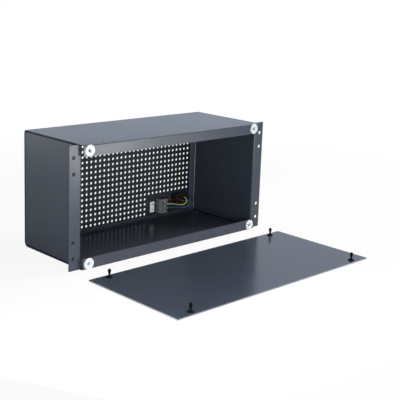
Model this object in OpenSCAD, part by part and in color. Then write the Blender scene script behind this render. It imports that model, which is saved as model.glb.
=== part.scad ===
// Rack chassis of five height units: a folded sheet case with rack ears, a perforated rear wall,
// a mains inlet wired to a terminal block, and its flat push-fit front cover lying in front of it.
// Millimetres. X runs across the front, Y runs to the rear, Z runs up.
// The origin is the middle of the underside of the case.

/* [Rack ears] */
// How far each rack ear stands out from its side wall
ear_w = 23.55; // [20:0.05:30]
// How much lower the rack ears are than the case
ear_trim = 1; // [0:0.1:4]
// Distance of the rack holes from the outer edge of their ear
rack_hole_inset = 8.75; // [7:0.05:12]
// Height between the outermost rack holes
rack_hole_outer_h = 177.8; // [160:0.05:200]
// Height between the inner rack holes
rack_hole_inner_h = 120.65; // [60:0.05:140]
// Diameter of the rack holes
rack_hole_d = 7; // [5:0.1:9]
// Inner radius of the bend between a side wall and its ear
ear_bend_r = 1.5; // [1:0.1:4]

/* [Case] */
// Width over the side walls
body_w = 435.5; // [420:0.5:446]
// Height of the case
body_h = 222; // [210:0.5:260]
// Depth from the face of the ears to the rear face
body_d = 174; // [140:1:320]
// Thickness of the case sheet
sheet_t = 1.5; // [0.8:0.1:2]
// Width of the flanges that join a side to the top, the bottom and the rear
flange_w = 17; // [14:0.5:20]
// Inner radius of the flange bends
flange_bend_r = 1.2; // [0.6:0.1:2]
// Outer radius of the bend from the bottom to the rear
bottom_rear_r = 9; // [6:0.5:10]
// Outer radius of the bend from the top to the rear
top_rear_r = 6; // [5:0.5:10]
// Gap between the pieces that are welded edge to edge
weld_gap = 0.2; // [0.1:0.05:0.4]

/* [Front lips] */
// How far the top and the bottom reach in front of the ears
nose_d = 8; // [6:0.5:14]
// Height of the two front lips
lip_h = 21; // [19:0.5:30]
// Outer radius of the bend from the top to its lip
lip_bend_r = 3; // [2:0.1:5]

/* [Perforated rear wall] */
// Diameter of the ventilation holes
vent_d = 5.2; // [4:0.1:7]
// Distance between the ventilation holes
vent_pitch = 10.8; // [9:0.1:14]
// Sheet left between a ventilation hole and a bend or a flange
vent_margin = 1; // [0.5:0.1:6]
// Plain sheet left beside and above the mains parts
plain_margin = 3.5; // [2:0.1:12]

/* [Rivets] */
// Diameter of the rivet shank
rivet_d = 3.2; // [2.4:0.1:4]
// Diameter of the countersunk rivet head
rivet_head_d = 6.4; // [5:0.1:8]
// Distance of the rivets from the side faces
rivet_inset = 11.5; // [8:0.5:12]
// Distance of the front rivets from the face of the ears
rivet_front = 22; // [18:1:40]
// Distance of the rear rivets from the rear face
rivet_rear = 24; // [18:1:40]

/* [Snap catches and studs] */
// Distance of each catch from the side face of the case
catch_inset = 12.75; // [11:0.05:30]
// Lip left above and below the face of a catch
catch_margin = 0.25; // [0.1:0.05:3]
// Thickness of the catch face
catch_face_t = 1.8; // [1.2:0.1:3]
// Diameter of the catch sleeve behind the lip
catch_sleeve_d = 11.6; // [10:0.1:13]
// Length of the catch sleeve behind the lip face
catch_sleeve_l = 12; // [9:0.5:14]
// Diameter of the narrow throat in the catch
catch_throat_d = 5.2; // [4:0.1:5.6]
// Diameter of the foot of a stud
stud_foot_d = 11.6; // [9:0.1:14]
// Height of a stud above the cover
stud_h = 15.2; // [11:0.1:16]
// Widest diameter of the head of a stud
stud_head_d = 6; // [5.4:0.1:6.4]
// Diameter of the neck of a stud
stud_neck_d = 3.4; // [2.6:0.1:4]

/* [Front cover] */
// How much lower the cover is than the case
cover_trim = 0.5; // [0:0.1:4]
// Thickness of the cover
cover_t = 2; // [1.5:0.1:4]
// Corner radius of the cover
cover_corner_r = 1.5; // [0.5:0.1:6]
// Distance on the floor from the face of the ears to the cover
cover_gap = 56; // [20:0.5:80]

/* [Mains inlet] */
// Distance of the inlet from the right side face
inlet_inset = 53; // [50:0.5:56]
// Height of the middle of the inlet
inlet_z = 38.5; // [28:0.5:42]
// Width of the inlet body through the panel
inlet_w = 27; // [24:0.5:28]
// Height of the inlet body through the panel
inlet_h = 20; // [19:0.5:22]
// Depth of the inlet body behind the panel
inlet_depth = 14; // [13:0.5:18]
// How far the inlet flange reaches past the middle of each screw
inlet_end = 5; // [4:0.1:7]
// How far the inlet flange reaches over the panel above and below the body
inlet_rim = 1.5; // [1:0.1:3]
// Thickness of the inlet flange
inlet_flange_t = 3; // [2:0.1:4]
// Distance between the two inlet screws
inlet_screw_w = 40; // [38:0.5:42]

/* [Terminal block] */
// Free distance between the inlet and the terminal block
wire_run = 22.5; // [18:0.5:40]
// Free height between the bottom bend and the foot of the terminal block
block_rise = 5; // [0.2:0.1:8]
// Width of the terminal block
block_w = 22; // [20:0.5:24]
// Depth of the terminal block
block_depth = 16; // [14:0.5:20]
// Distance between its three poles
pole_pitch = 9; // [9:0.1:11]
// Height of the wire bores over the panel
bore_depth = 6.5; // [6:0.1:7]
// Outer diameter of the brass clamps
clamp_d = 4.2; // [4:0.1:4.4]
// Bore of the brass clamps
clamp_bore_d = 3; // [2.8:0.1:3.2]

/* [Cable tie mounts] */
// Free distance between the terminal block and the tie mounts
tie_run = 6; // [2:0.25:12]
// Height of the middle of the pair of tie mounts
tie_z = 27; // [22:0.5:30]
// Side of each square tie mount
tie_size = 11; // [10:0.1:14]

/* [Wires] */
// Outer diameter of the three wires
wire_d = 2.6; // [2:0.1:2.8]

/* [Hidden] */

$fn = 48;
// Small overshoot of a cutting shape past the face that it cuts
cut = 1;

// Main planes of the case
half_w = body_w / 2;
ear_y = -body_d / 2;
rear_y = body_d / 2;
nose_y = ear_y - nose_d;
rear_in_y = rear_y - sheet_t;
mid_z = body_h / 2;
rack_w = body_w + 2 * ear_w;
rack_hole_w = rack_w - 2 * rack_hole_inset;
ear_h = body_h - ear_trim;
flange_out_r = flange_bend_r + sheet_t;
ear_out_r = ear_bend_r + sheet_t;
wall_front_y = ear_y + ear_out_r;

// Places along the front and on the floor
fit_gap = 0.15;
thread_gap = 0.05;
sides = [-1, 1];
catch_x = half_w - catch_inset;
catch_z = lip_h / 2;
catch_face_d = lip_h - 2 * catch_margin;
catch_hole_d = catch_sleeve_d + 2 * fit_gap;
catch_barb_d = catch_hole_d + 1.6;
catch_slot_w = 1.4;
cover_w = rack_w;
cover_h = body_h - cover_trim;
cover_y = ear_y - cover_gap - cover_h / 2;
stud_y = mid_z - catch_z;

// Case rivets
rivet_y = [ear_y + rivet_front, rear_y - rivet_rear];
rivet_tail_d = rivet_d + 1.8;
rivet_tail_l = 2.6;

// Mains parts, from the inner face of the rear wall
inlet_x = half_w - inlet_inset;
inlet_wall_t = 2.2;
inlet_corner = 4.5;
pin_side = 7;
pin_drop = 3;
pin_rise = 4;
pin_places = [[-pin_side, -pin_drop], [pin_side, -pin_drop], [0, pin_rise]];
pin_w = 4;
pin_t = 2;
tab_w = 6.3;
tab_t = 0.8;
tab_l = 8;
sleeve_w = tab_w + 1.4;
sleeve_t = tab_t + 3;
sleeve_l = 12;
sleeve_barrel_d = 4.6;
sleeve_barrel_l = 3.6;
sleeve_start = inlet_depth + 0.4;
sleeve_end = sleeve_start + sleeve_l;
screw_d = 3;
screw_head_d = 5.6;
nut_w = 5.5;
nut_t = 2.4;

// Terminal block
block_x = inlet_x - inlet_w / 2 - wire_run - block_w / 2;
block_h = 3 * pole_pitch + 3;
block_z = bottom_rear_r + block_rise + block_h / 2;
poles = [-1, 0, 1];
clamp_screw_x = 5.2;
clamp_screw_d = 2.6;
clamp_l = block_w - 4;
funnel_d = 4.2;
fixing_y = pole_pitch / 2;
fixing_floor = 5;
fixing_d = 2.2;
fixing_head_d = 3.6;

// Tie mounts
tie_x = block_x - block_w / 2 - tie_run - tie_size / 2;
tie_base_t = 1.4;
tie_bridge_t = 3.6;
tie_gap = 0.5;
tie_hole_d = 3;

// Plain corner of the rear wall, from its left edge and up to its top edge
plain_x = tie_x - tie_size / 2 - plain_margin;
plain_z = max(block_z + block_h / 2, inlet_z + inlet_h / 2 + inlet_rim) + plain_margin;

// Wire routes between the two ends: the way from the inlet's middle to the block in hundredths,
// the distance in front of the rear wall, and the height over the inlet's middle
live_route = [
    [24, 34, -1], [36, 36.4, 1.5], [49, 34, 3.5], [56, 27, 4], [60.5, 19.5, 2.5], [66, 12, 0.5],
    [75, 8, -0.3]
];
earth_route = [
    [3, 34, 1.5], [13, 37.5, -2], [26, 38.5, -5.5], [38, 37, -7], [46, 32.5, -8], [56, 22, -8.5],
    [66.5, 12, -9], [76, 7.8, -9.5]
];
neutral_route = [
    [-16, 34, -5], [-6, 37.5, -8.5], [7, 39, -11], [24, 38.5, -12.5], [37.5, 36.5, -13.5],
    [46, 32, -14], [56, 22, -15.5], [66.5, 12, -17], [76, 7.8, -18]
];
wire_sides = 8;
wire_steps = 2;
// How far a wire goes into its sleeve and into its clamp
sleeve_grip = 2;
clamp_grip = 5;
// How far a wire runs straight before the mouth of a pole
mouth_lead = 4;

// Placement helpers

// Puts children on the inner face of the rear wall: local X across, Y up, Z to the front
module on_rear(x, z) {
    translate([x, rear_in_y, z]) rotate([90, 0, 0]) children();
}

// Puts children on the front face of a lip: local Z to the front
module on_lip(x, z) {
    translate([x, nose_y, z]) rotate([90, 0, 0]) children();
}

// Lays an outline drawn in Y and Z along the X axis
module across(length) {
    rotate([90, 0, 90]) linear_extrude(length, center = true) children();
}

// Sheet metal helpers

// Quarter of a round bend in plan, turned to the quarter that starts at the angle
module bend_plan(outer_r, angle) {
    rotate(angle) intersection() {
        difference() {
            circle(outer_r);
            circle(outer_r - sheet_t);
        }
        square(outer_r + cut);
    }
}

// Quarter disc in plan, turned to the quarter that starts at the angle
module quarter_disc(r, angle) {
    rotate(angle) intersection() {
        circle(r);
        square(r + cut);
    }
}

// Section of a sheet with a front lip and a rear bend, its outer face down at Z 0
module lipped_section(rear_r) {
    translate([nose_y, lip_bend_r]) square([sheet_t, lip_h - lip_bend_r]);
    translate([nose_y + lip_bend_r, lip_bend_r]) bend_plan(lip_bend_r, 180);
    translate([nose_y + lip_bend_r, 0])
        square([rear_y - rear_r - nose_y - lip_bend_r, sheet_t]);
    translate([rear_y - rear_r, rear_r]) bend_plan(rear_r, 270);
}

// Countersunk hole for a case rivet from the outer face down at Z 0
module rivet_hole() {
    translate([0, 0, -cut]) cylinder(d = rivet_d + 2 * fit_gap, h = 3 * sheet_t + cut);
    cylinder(d1 = rivet_head_d + 2 * fit_gap, d2 = rivet_d + 2 * fit_gap, h = sheet_t);
}

// Lipped sheet with its catch holes and rivet holes, its outer face down at Z 0
module lipped_sheet(rear_r) {
    difference() {
        across(body_w) lipped_section(rear_r);
        for (s = sides) {
            on_lip(s * catch_x, catch_z) cylinder(d = catch_hole_d, h = 4 * sheet_t, center = true);
            for (y = rivet_y) translate([s * (half_w - rivet_inset), y, 0]) rivet_hole();
        }
    }
}

// Outline of the flat of a side wall, in Y and Z
module wall_plan() {
    low_z = sheet_t + flange_out_r;
    translate([wall_front_y, low_z])
        square([rear_y - bottom_rear_r - wall_front_y, mid_z - low_z]);
    translate([wall_front_y, mid_z])
        square([rear_y - top_rear_r - wall_front_y, mid_z - low_z]);
    translate([0, bottom_rear_r])
        square([rear_in_y - flange_out_r, body_h - bottom_rear_r - top_rear_r]);
    translate([rear_y - bottom_rear_r, bottom_rear_r])
        quarter_disc(bottom_rear_r - sheet_t - weld_gap, 270);
    translate([rear_y - top_rear_r, body_h - top_rear_r])
        quarter_disc(top_rear_r - sheet_t - weld_gap, 0);
}

// Flange along the bottom of the right side, with its bend
module seam_flange(rear_r) {
    start_y = wall_front_y + flange_out_r;
    length = rear_y - rear_r - weld_gap - start_y;
    translate([half_w - flange_w, start_y, sheet_t])
        cube([flange_w - flange_out_r, length, sheet_t]);
    translate([half_w - flange_out_r, start_y + length, sheet_t + flange_out_r])
        rotate([90, 0, 0]) linear_extrude(length) bend_plan(flange_out_r, 270);
}

// Rack ear of the right side with its four holes
module ear() {
    difference() {
        translate([half_w + ear_bend_r, ear_y, mid_z - ear_h / 2])
            cube([rack_w / 2 - half_w - ear_bend_r, sheet_t, ear_h]);
        for (h = [rack_hole_outer_h, rack_hole_inner_h], s = sides)
            translate([rack_hole_w / 2, ear_y, mid_z + s * h / 2])
                rotate([90, 0, 0]) cylinder(d = rack_hole_d, h = 4 * sheet_t, center = true);
    }
}

// Right side: wall, rack ear, and the flanges to the top, the bottom and the rear
module side_panel() {
    low_z = sheet_t + flange_out_r;
    rear_low_z = bottom_rear_r + weld_gap;
    rear_h = body_h - top_rear_r - weld_gap - rear_low_z;
    difference() {
        union() {
            translate([half_w - sheet_t / 2, 0, 0]) across(sheet_t) wall_plan();
            translate([half_w + ear_bend_r, wall_front_y, low_z])
                linear_extrude(body_h - 2 * low_z) bend_plan(ear_out_r, 180);
            ear();
            seam_flange(bottom_rear_r);
            translate([0, 0, body_h]) mirror([0, 0, 1]) seam_flange(top_rear_r);
            translate([half_w - flange_w, rear_in_y - sheet_t, rear_low_z])
                cube([flange_w - flange_out_r, sheet_t, rear_h]);
            translate([half_w - flange_out_r, rear_in_y - flange_out_r, rear_low_z])
                linear_extrude(rear_h) bend_plan(flange_out_r, 0);
        }
        for (y = rivet_y) translate([half_w - rivet_inset, y, 0]) {
            rivet_hole();
            translate([0, 0, body_h]) mirror([0, 0, 1]) rivet_hole();
        }
    }
}

// Case

module top_sheet() {
    color("#6f7783") translate([0, 0, body_h]) mirror([0, 0, 1]) lipped_sheet(top_rear_r);
}

module bottom_sheet() {
    color("#6a727e") lipped_sheet(bottom_rear_r);
}

module left_side() {
    color("#666e79") mirror([1, 0, 0]) side_panel();
}

module right_side() {
    color("#666e79") side_panel();
}

// Holes of the rear wall that lie outside its plain corner
function vent_places() =
    let (
        columns = floor((half_w - flange_w - vent_margin - vent_d / 2) / vent_pitch),
        tallest_r = max(bottom_rear_r, top_rear_r),
        rows = floor((mid_z - tallest_r - vent_margin - vent_d / 2) / vent_pitch)
    )
    [
        for (c = [-columns:columns], r = [-rows:rows])
            let (x = c * vent_pitch, z = mid_z + r * vent_pitch)
            if (x + vent_d / 2 < plain_x || z - vent_d / 2 > plain_z) [x, z]
    ];

module rear_panel() {
    color("#5d6570") on_rear(0, 0) translate([0, 0, -sheet_t]) linear_extrude(sheet_t) difference() {
        translate([-half_w, bottom_rear_r]) square([body_w, body_h - bottom_rear_r - top_rear_r]);
        for (p = vent_places()) translate(p) circle(d = vent_d);
        translate([inlet_x, inlet_z])
            square([inlet_w + 2 * fit_gap, inlet_h + 2 * fit_gap], center = true);
        for (s = sides) {
            translate([inlet_x + s * inlet_screw_w / 2, inlet_z]) circle(d = screw_d + 2 * fit_gap);
            translate([block_x, block_z + s * fixing_y]) circle(d = fixing_d + 2 * fit_gap);
        }
    }
}

// One countersunk blind rivet through a sheet and a flange, its head flush at Z 0
module case_rivet() {
    cylinder(d1 = rivet_head_d, d2 = rivet_d, h = sheet_t);
    cylinder(d = rivet_d, h = 2 * sheet_t);
    translate([0, 0, 2 * sheet_t]) cylinder(d = rivet_tail_d, h = rivet_tail_l * 0.6);
    translate([0, 0, 2 * sheet_t + rivet_tail_l * 0.6])
        cylinder(d1 = rivet_tail_d, d2 = rivet_d - 1, h = rivet_tail_l * 0.4);
}

module case_rivets() {
    color("#b9bdc2") for (s = sides, y = rivet_y) translate([s * (half_w - rivet_inset), y, 0]) {
        case_rivet();
        translate([0, 0, body_h]) mirror([0, 0, 1]) case_rivet();
    }
}

// Snap fasteners of the cover

// Round catch with four spring fingers, pressed into a lip from the front
module catch() {
    face_r = catch_face_d / 2;
    sleeve_r = catch_sleeve_d / 2;
    barb_z = -sheet_t - fit_gap;
    throat_r = catch_throat_d / 2;
    chamber_r = stud_head_d / 2 + 0.4;
    mouth_r = chamber_r + 0.8;
    difference() {
        rotate_extrude() polygon([
            [throat_r, -2.4], [throat_r, -0.6], [mouth_r, catch_face_t], [face_r - 0.8, catch_face_t],
            [face_r, catch_face_t - 0.8], [face_r, 0], [sleeve_r, 0], [sleeve_r, barb_z],
            [catch_barb_d / 2, barb_z - 0.6], [catch_barb_d / 2, barb_z - 1.6],
            [sleeve_r - 0.8, -catch_sleeve_l], [chamber_r, -catch_sleeve_l], [chamber_r, -4]
        ]);
        for (turn = [45, 135]) rotate(turn)
            translate([-catch_barb_d, -catch_slot_w / 2, -catch_sleeve_l - cut])
                cube([2 * catch_barb_d, catch_slot_w, catch_sleeve_l + cut - 0.6]);
    }
}

module placed_catch(x_side, z_side) {
    color("#f2f2ee") on_lip(x_side * catch_x, mid_z + z_side * (mid_z - catch_z)) catch();
}

// Split snap stud that stands on the cover
module stud() {
    foot_r = stud_foot_d / 2;
    neck_r = stud_neck_d / 2;
    head_r = stud_head_d / 2;
    difference() {
        rotate_extrude() polygon([
            [0, 0], [foot_r, 0], [foot_r, 1], [foot_r - 1.4, 2.2], [neck_r + 1, 2.8], [neck_r, 3.8],
            [neck_r, 5], [head_r, stud_h - 3.4], [head_r, stud_h - 2.4], [head_r - 1.6, stud_h],
            [0, stud_h]
        ]);
        rotate([90, 0, 0]) linear_extrude(2 * stud_head_d, center = true) polygon([
            [-0.3, 4.4], [0.3, 4.4], [1.1, stud_h + cut], [-1.1, stud_h + cut]
        ]);
    }
}

module placed_stud(x_side, y_side) {
    color("#17181a") translate([x_side * catch_x, cover_y + y_side * stud_y, cover_t]) stud();
}

module front_cover() {
    straight_w = cover_w - 2 * cover_corner_r;
    straight_h = cover_h - 2 * cover_corner_r;
    color("#7a828e") translate([0, cover_y, 0]) linear_extrude(cover_t) {
        square([straight_w, cover_h], center = true);
        square([cover_w, straight_h], center = true);
        for (x = sides, y = sides)
            translate([x * straight_w / 2, y * straight_h / 2]) circle(cover_corner_r);
    }
}

// Mains inlet

// Socket outline with its two cut corners
module socket_plan(w, h) {
    polygon([
        [-w / 2, -h / 2], [w / 2, -h / 2], [w / 2, h / 2 - inlet_corner],
        [w / 2 - inlet_corner, h / 2], [-w / 2 + inlet_corner, h / 2], [-w / 2, h / 2 - inlet_corner]
    ]);
}

module mains_inlet() {
    socket_w = inlet_w - 2 * inlet_wall_t;
    socket_h = inlet_h - 2 * inlet_wall_t;
    flange_z = -sheet_t - inlet_flange_t;
    color("#1b1c1e") on_rear(inlet_x, inlet_z) difference() {
        union() {
            translate([0, 0, flange_z]) linear_extrude(inlet_flange_t) {
                square([inlet_w + 2 * inlet_rim, inlet_h + 2 * inlet_rim], center = true);
                flange_ears();
            }
            translate([-inlet_w / 2, -inlet_h / 2, -sheet_t])
                cube([inlet_w, inlet_h, inlet_depth + sheet_t]);
        }
        translate([0, 0, flange_z - cut])
            linear_extrude(inlet_depth - inlet_wall_t - flange_z + cut) socket_plan(socket_w, socket_h);
        for (s = sides) translate([s * inlet_screw_w / 2, 0, flange_z - cut])
            cylinder(d = screw_d + 2 * fit_gap, h = inlet_flange_t + 2 * cut);
        for (p = pin_places) translate([p[0], p[1], inlet_depth - inlet_wall_t / 2])
            cube([tab_w + 2 * fit_gap, pin_t + 2 * fit_gap, inlet_wall_t + cut], center = true);
    }
}

// Rounded ears of the inlet flange
module flange_ears() {
    for (s = sides) translate([s * inlet_screw_w / 2, 0]) circle(inlet_end);
    square([inlet_screw_w, 2 * inlet_end], center = true);
}

module inlet_pins() {
    blade_l = inlet_depth + sheet_t + inlet_flange_t - 2;
    color("#c9ccd0") on_rear(inlet_x, inlet_z) for (p = pin_places) translate([p[0], p[1], 0]) {
        translate([-pin_w / 2, -pin_t / 2, inlet_depth - blade_l]) cube([pin_w, pin_t, blade_l]);
        translate([-tab_w / 2, -pin_t / 2, inlet_depth - inlet_wall_t])
            cube([tab_w, pin_t, inlet_wall_t]);
        translate([-tab_w / 2, -tab_t / 2, inlet_depth]) cube([tab_w, tab_t, tab_l]);
    }
}

// Pan head screw with its bearing face at Z 0 and its shank along +Z
module pan_screw(shank_d, shank_l, head_d) {
    head_t = 2;
    cylinder(d = shank_d, h = shank_l);
    difference() {
        translate([0, 0, -head_t]) cylinder(d1 = head_d - 1.4, d2 = head_d, h = head_t);
        translate([0, 0, -head_t]) cube([head_d, 0.8, 1.8], center = true);
    }
}

module inlet_screws() {
    grip = inlet_flange_t + sheet_t;
    color("#c3c6ca") on_rear(inlet_x, inlet_z) for (s = sides)
        translate([s * inlet_screw_w / 2, 0, -grip]) pan_screw(screw_d, grip + nut_t + 1, screw_head_d);
}

module inlet_nuts() {
    color("#d0d3d6") on_rear(inlet_x, inlet_z) for (s = sides) translate([s * inlet_screw_w / 2, 0, 0])
        difference() {
            cylinder(d = nut_w / cos(30), h = nut_t, $fn = 6);
            translate([0, 0, -cut]) cylinder(d = screw_d + 2 * thread_gap, h = nut_t + 2 * cut);
        }
}

// Insulated push-on sleeves over the tabs of the inlet
module push_on_sleeves() {
    color("#2a2b2e") on_rear(inlet_x, inlet_z) for (p = pin_places) translate([p[0], p[1], sleeve_start])
        difference() {
            union() {
                translate([-sleeve_w / 2, -sleeve_t / 2, 0])
                    cube([sleeve_w, sleeve_t, sleeve_l - sleeve_barrel_l]);
                translate([0, 0, sleeve_l - sleeve_barrel_l])
                    cylinder(d = sleeve_barrel_d, h = sleeve_barrel_l);
            }
            translate([-tab_w / 2 - fit_gap, -tab_t / 2 - fit_gap, -cut])
                cube([tab_w + 2 * fit_gap, tab_t + 2 * fit_gap, tab_l + cut]);
            translate([0, 0, sleeve_l - sleeve_grip - fit_gap])
                cylinder(d = wire_d + 4 * fit_gap, h = sleeve_grip + cut);
        }
}

// Terminal block

// Section of the block across its poles, its foot on the panel
module block_section() {
    shoulder = block_depth * 0.62;
    crown_w = block_w * 0.7;
    polygon([
        [-block_w / 2, 0], [block_w / 2, 0], [block_w / 2, shoulder], [crown_w / 2, block_depth],
        [-crown_w / 2, block_depth], [-block_w / 2, shoulder]
    ]);
}

module terminal_block() {
    groove_w = 1.6;
    groove_d = 3;
    color("#4b4c50") on_rear(block_x, block_z) difference() {
        rotate([90, 0, 0]) linear_extrude(block_h, center = true) block_section();
        for (p = poles) translate([0, p * pole_pitch, 0]) {
            translate([0, 0, bore_depth]) rotate([0, 90, 0])
                cylinder(d = clamp_d + 2 * fit_gap, h = block_w + 2 * cut, center = true);
            for (s = sides) translate([s * clamp_screw_x, 0, bore_depth])
                cylinder(d = funnel_d, h = block_depth);
        }
        for (s = sides) translate([0, s * fixing_y, 0]) {
            translate([-block_w, -groove_w / 2, block_depth - groove_d])
                cube([2 * block_w, groove_w, groove_d + cut]);
            translate([0, 0, -cut]) cylinder(d = fixing_d + 2 * fit_gap, h = block_depth);
            translate([0, 0, fixing_floor]) cylinder(d = fixing_head_d + 2 * fit_gap, h = block_depth);
        }
    }
}

module terminal_clamps() {
    color("#c8a24a") on_rear(block_x, block_z) for (p = poles) translate([0, p * pole_pitch, bore_depth])
        difference() {
            rotate([0, 90, 0]) cylinder(d = clamp_d, h = clamp_l, center = true);
            rotate([0, 90, 0]) cylinder(d = clamp_bore_d, h = clamp_l + 2 * cut, center = true);
            for (s = sides) translate([s * clamp_screw_x, 0, 0])
                cylinder(d = clamp_screw_d + 2 * thread_gap, h = clamp_d);
        }
}

module terminal_screws() {
    screw_l = 5;
    seat = clamp_bore_d / 2;
    color("#d6d8da") on_rear(block_x, block_z) for (p = poles, s = sides)
        translate([s * clamp_screw_x, p * pole_pitch, bore_depth + seat]) difference() {
            union() {
                cylinder(d = clamp_screw_d, h = screw_l);
                translate([0, 0, clamp_d / 2 - seat + fit_gap])
                    cylinder(d = funnel_d - 2 * fit_gap, h = screw_l - clamp_d / 2 + seat);
            }
            translate([0, 0, screw_l + fit_gap]) cube([funnel_d, 0.7, 1.4], center = true);
        }
}

module block_fixings() {
    color("#c3c6ca") on_rear(block_x, block_z) for (s = sides)
        translate([0, s * fixing_y, fixing_floor]) mirror([0, 0, 1])
            pan_screw(fixing_d, fixing_floor + sheet_t + 0.8, fixing_head_d);
}

// Cable tie mounts

// Square base with a bridge that a tie passes under from either side, and a hole through its middle
module tie_mount() {
    bridge_w = tie_size * 0.62;
    tunnel_w = 4.2;
    tunnel_h = 1.3;
    difference() {
        union() {
            translate([-tie_size / 2, -tie_size / 2, 0]) cube([tie_size, tie_size, tie_base_t]);
            cylinder(d1 = bridge_w + 1.2, d2 = bridge_w - 0.8, h = tie_bridge_t);
        }
        for (turn = [0, 90]) rotate(turn)
            translate([-tie_size, -tunnel_w / 2, tie_base_t]) cube([2 * tie_size, tunnel_w, tunnel_h]);
        translate([0, 0, -cut]) cylinder(d = tie_hole_d, h = tie_bridge_t + 2 * cut);
    }
}

module placed_tie_mount(z_side) {
    color("#f4f4f0") on_rear(tie_x, tie_z + z_side * (tie_size + tie_gap) / 2) tie_mount();
}

// Wires

// Point of a smooth curve through b and c, with a and d on either side
function smooth(a, b, c, d, t) =
    b + t * ((c - a) / 2 + t * ((a - 2.5 * b + 2 * c - d / 2) + t * ((d - a) / 2 + 1.5 * (b - c))));

// Curve through all the points, with its first and last points kept
function curve(points) =
    let (n = len(points) - 1)
    [
        for (i = [0:n - 1], s = [0:wire_steps - 1])
            smooth(points[max(i - 1, 0)], points[i], points[i + 1], points[min(i + 2, n)], s / wire_steps),
        points[n]
    ];

function unit(v) = v / norm(v);

// Direction of a path at one of its points
function heading(path, i) = unit(path[min(i + 1, len(path) - 1)] - path[max(i - 1, 0)]);

// Side direction that is carried along the path without twist
function side_way(path, i) =
    let (
        before = i == 0 ? [0, 0, 1] : side_way(path, i - 1),
        h = heading(path, i)
    )
    unit(before - (before * h) * h);

// Round wire along a path
module wire(path) {
    rings = len(path);
    spots = [
        for (i = [0:rings - 1])
            let (h = heading(path, i), u = side_way(path, i), v = cross(h, u))
            for (k = [0:wire_sides - 1])
                let (a = 360 * k / wire_sides)
                path[i] + wire_d / 2 * (cos(a) * u + sin(a) * v)
    ];
    skin = [
        for (i = [0:rings - 2], k = [0:wire_sides - 1])
            let (a = i * wire_sides + k, b = i * wire_sides + (k + 1) % wire_sides)
            [a, a + wire_sides, b + wire_sides, b]
    ];
    first = [for (k = [0:wire_sides - 1]) k];
    last = [for (k = [wire_sides - 1:-1:0]) (rings - 1) * wire_sides + k];
    polyhedron(spots, concat([first], skin, [last]), convexity = 6);
}

// Path from a pin of the inlet, through a route, into the right end of a pole of the block
function wire_path(pin, route, pole) =
    let (
        tail = [inlet_x + pin[0], rear_in_y - sleeve_end, inlet_z + pin[1]],
        mouth = [block_x + block_w / 2, rear_in_y - bore_depth, block_z + pole * pole_pitch],
        run = inlet_x - mouth[0],
        middle = [for (p = route) [inlet_x - run * p[0] / 100, rear_in_y - p[1], inlet_z + p[2]]]
    )
    curve(concat(
        [tail + [0, sleeve_grip, 0], tail - [0, sleeve_grip, 0]],
        middle,
        [mouth + [mouth_lead, 0, 0], mouth, mouth - [clamp_grip, 0, 0]]
    ));

module live_wire() {
    color("#5a3420") wire(wire_path(pin_places[0], live_route, 1));
}

module earth_wire() {
    color("#b6c32c") wire(wire_path(pin_places[2], earth_route, 0));
}

module neutral_wire() {
    color("#2f6fae") wire(wire_path(pin_places[1], neutral_route, -1));
}

top_sheet();
bottom_sheet();
left_side();
right_side();
rear_panel();
case_rivets();
placed_catch(-1, 1);  // catch_top_left
placed_catch(1, 1);  // catch_top_right
placed_catch(-1, -1);  // catch_bottom_left
placed_catch(1, -1);  // catch_bottom_right
front_cover();
placed_stud(-1, 1);  // stud_rear_left
placed_stud(1, 1);  // stud_rear_right
placed_stud(-1, -1);  // stud_front_left
placed_stud(1, -1);  // stud_front_right
mains_inlet();
inlet_pins();
inlet_screws();
inlet_nuts();
push_on_sleeves();
terminal_block();
terminal_clamps();
terminal_screws();
block_fixings();
placed_tie_mount(1);  // upper_tie_mount
placed_tie_mount(-1);  // lower_tie_mount
live_wire();
earth_wire();
neutral_wire();
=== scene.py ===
"""Looks of a rack chassis: its paint, its nylon and metal parts, its wires, and the studio around it.

Lengths are in metres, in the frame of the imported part: X across the front, Y to the rear, Z up.
"""

import sys

import logging
import math
from collections.abc import Sequence
from dataclasses import dataclass
from enum import Enum

import bpy
from mathutils import Matrix, Vector


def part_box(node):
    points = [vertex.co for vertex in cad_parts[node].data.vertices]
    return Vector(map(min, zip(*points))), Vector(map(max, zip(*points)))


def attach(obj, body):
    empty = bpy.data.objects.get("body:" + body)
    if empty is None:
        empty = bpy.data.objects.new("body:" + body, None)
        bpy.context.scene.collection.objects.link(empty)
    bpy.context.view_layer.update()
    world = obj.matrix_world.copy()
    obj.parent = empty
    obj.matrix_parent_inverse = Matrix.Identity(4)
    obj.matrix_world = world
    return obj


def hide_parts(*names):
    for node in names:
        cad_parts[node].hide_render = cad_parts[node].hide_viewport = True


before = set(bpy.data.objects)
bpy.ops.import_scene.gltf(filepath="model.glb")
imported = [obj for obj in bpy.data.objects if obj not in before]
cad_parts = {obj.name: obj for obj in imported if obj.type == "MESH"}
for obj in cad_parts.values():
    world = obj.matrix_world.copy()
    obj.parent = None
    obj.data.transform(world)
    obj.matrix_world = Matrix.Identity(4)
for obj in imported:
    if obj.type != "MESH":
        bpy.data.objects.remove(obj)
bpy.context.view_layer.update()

LOG = logging.getLogger("chassis")

Colour = tuple[float, float, float]
Point = tuple[float, float, float]
Tones = tuple[float, float]

# Decimals of a metre that are kept of a place in the frame
DECIMALS = 6

# Materials that are made already, by the name of their finish
MADE: dict[str, bpy.types.Material] = {}


def corners(node: str) -> tuple[Point, Point]:
    """Gives the low and the high corner of a solid's box.

    Args:
        node: Name of the solid's node.

    Returns:
        The two corners, rounded.
    """
    low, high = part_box(node)
    return tuple(round(part, DECIMALS) for part in low), tuple(round(part, DECIMALS) for part in high)


def centre(node: str) -> Point:
    """Gives the middle of a solid's box.

    Args:
        node: Name of the solid's node.

    Returns:
        The middle, rounded.
    """
    low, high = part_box(node)
    return tuple(round((start + end) / 2, DECIMALS) for start, end in zip(low, high))


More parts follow.
